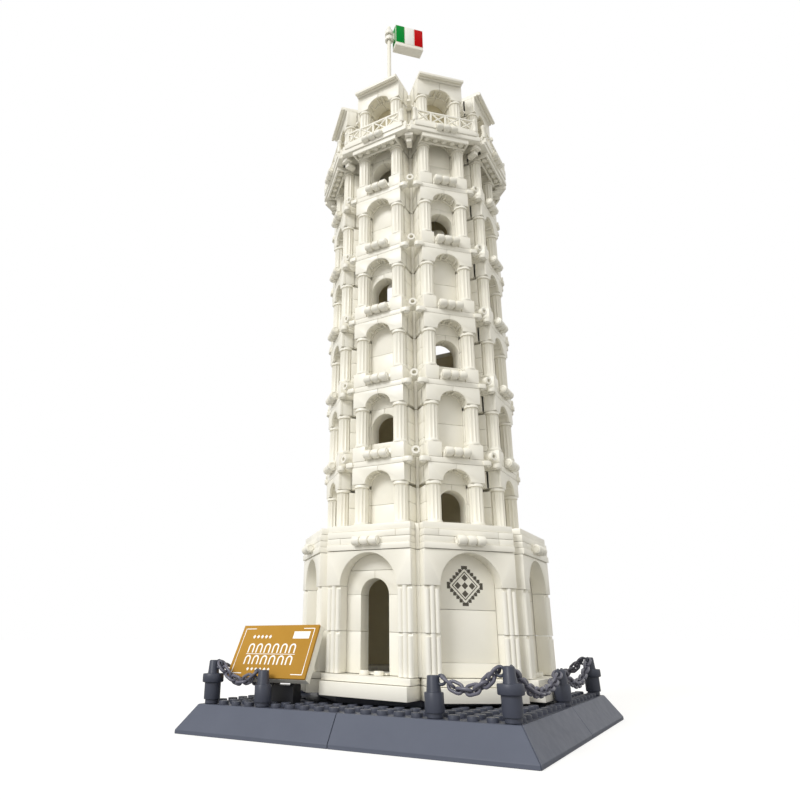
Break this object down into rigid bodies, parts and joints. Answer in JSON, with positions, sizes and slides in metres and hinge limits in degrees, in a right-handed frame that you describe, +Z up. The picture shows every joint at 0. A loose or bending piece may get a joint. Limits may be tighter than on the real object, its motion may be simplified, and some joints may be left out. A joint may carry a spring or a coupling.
{
  "type": "leaning tower souvenir model",
  "caption": "Brick-built souvenir of a leaning arcaded round tower with a flag, on a studded base with posts, swinging chains and a tilting plaque.",
  "frame": {"origin": "centre of the underside of the base", "axes": "+Z up along the tower, -Y out of the front face of the base, the tower leans towards +X"},
  "size_m": [0.176, 0.176, 0.5192],
  "materials": {
    "slate": "smooth moulded plastic, dark blue grey",
    "border": "smooth moulded plastic, blue grey",
    "chain": "glossy moulded plastic, grey",
    "ivory": "smooth moulded plastic, ivory white",
    "black": "smooth moulded plastic, black",
    "plaque_print": "printed tile, ochre with a white ornament",
    "flag": "smooth moulded plastic, green, white and red blocks"
  },
  "bodies": {
    "frame": {"deck": "slate", "border_front_a": "border", "border_front_b": "border", "border_right_a": "border", "border_right_b": "border", "border_back_a": "border", "border_back_b": "border", "border_left_a": "border", "border_left_b": "border", "post_front_a": "slate", "post_front_b": "slate", "post_front_c": "slate", "post_front_d": "slate", "post_back_a": "slate", "post_back_b": "slate", "post_back_c": "slate", "post_back_d": "slate", "post_left": "slate", "post_right": "slate", "plaque_bracket": "black", "tilt_wedge": "slate", "plinth_lower": "ivory", "plinth_upper": "ivory", "ground_wall_0": "ivory", "ground_wall_1": "ivory", "ground_wall_2": "ivory", "ground_wall_3": "ivory", "ground_wall_4": "ivory", "ground_wall_5": "ivory", "ground_wall_6": "ivory", "ground_wall_7": "ivory", "arcade_0": "ivory", "arcade_1": "ivory", "arcade_2": "ivory", "arcade_3": "ivory", "arcade_4": "ivory", "arcade_5": "ivory", "arcade_6": "ivory", "arcade_7": "ivory", "belfry_0": "ivory", "belfry_1": "ivory", "belfry_2": "ivory", "belfry_3": "ivory", "belfry_4": "ivory", "belfry_5": "ivory", "belfry_6": "ivory", "belfry_7": "ivory", "belfry_floor": "ivory", "flagpole": "ivory"},
    "plaque": {"plaque_face": "plaque_print", "plaque_backing": "ivory"},
    "flag": {"flag": "flag"},
    "chain_front_left": {"chain_front_left": "chain"},
    "chain_front_right": {"chain_front_right": "chain"},
    "chain_back_left": {"chain_back_left": "chain"},
    "chain_back_right": {"chain_back_right": "chain"},
    "chain_left_front": {"chain_left_front": "chain"},
    "chain_left_back": {"chain_left_back": "chain"},
    "chain_right_front": {"chain_right_front": "chain"},
    "chain_right_back": {"chain_right_back": "chain"}
  },
  "joints": [
    {"name": "plaque_tilt", "type": "hinge", "parent": "frame", "child": "plaque", "pos_m": [-0.0425, -0.0629, 0.0266], "axis": [1, 0, 0], "range_deg": [0, 14]},
    {"name": "flag_swivel", "type": "hinge", "parent": "frame", "child": "flag", "pos_m": [0.00026, 0.002, 0.5082], "axis": [0.0286, 0, 0.9996], "continuous": true},
    {"name": "chain_front_left_swing", "type": "hinge", "parent": "frame", "child": "chain_front_left", "pos_m": [-0.05955, -0.076, 0.0289], "axis": [-0.9845, 0, 0.1756], "range_deg": [-8, 35]},
    {"name": "chain_front_right_swing", "type": "hinge", "parent": "frame", "child": "chain_front_right", "pos_m": [0.05955, -0.076, 0.0289], "axis": [-0.9845, 0, -0.1756], "range_deg": [-8, 35]},
    {"name": "chain_back_left_swing", "type": "hinge", "parent": "frame", "child": "chain_back_left", "pos_m": [-0.05955, 0.076, 0.0289], "axis": [0.9845, 0, -0.1756], "range_deg": [-8, 35]},
    {"name": "chain_back_right_swing", "type": "hinge", "parent": "frame", "child": "chain_back_right", "pos_m": [0.05955, 0.076, 0.0289], "axis": [0.9845, 0, 0.1756], "range_deg": [-8, 35]},
    {"name": "chain_left_front_swing", "type": "hinge", "parent": "frame", "child": "chain_left_front", "pos_m": [-0.076, -0.03555, 0.0289], "axis": [0, 0.9985, -0.0548], "range_deg": [-8, 35]},
    {"name": "chain_left_back_swing", "type": "hinge", "parent": "frame", "child": "chain_left_back", "pos_m": [-0.076, 0.03955, 0.0289], "axis": [0, 0.9981, 0.0619], "range_deg": [-8, 35]},
    {"name": "chain_right_front_swing", "type": "hinge", "parent": "frame", "child": "chain_right_front", "pos_m": [0.076, -0.03555, 0.0289], "axis": [0, -0.9985, 0.0548], "range_deg": [-8, 35]},
    {"name": "chain_right_back_swing", "type": "hinge", "parent": "frame", "child": "chain_right_back", "pos_m": [0.076, 0.03955, 0.0289], "axis": [0, -0.9981, -0.0619], "range_deg": [-8, 35]}
  ]
}
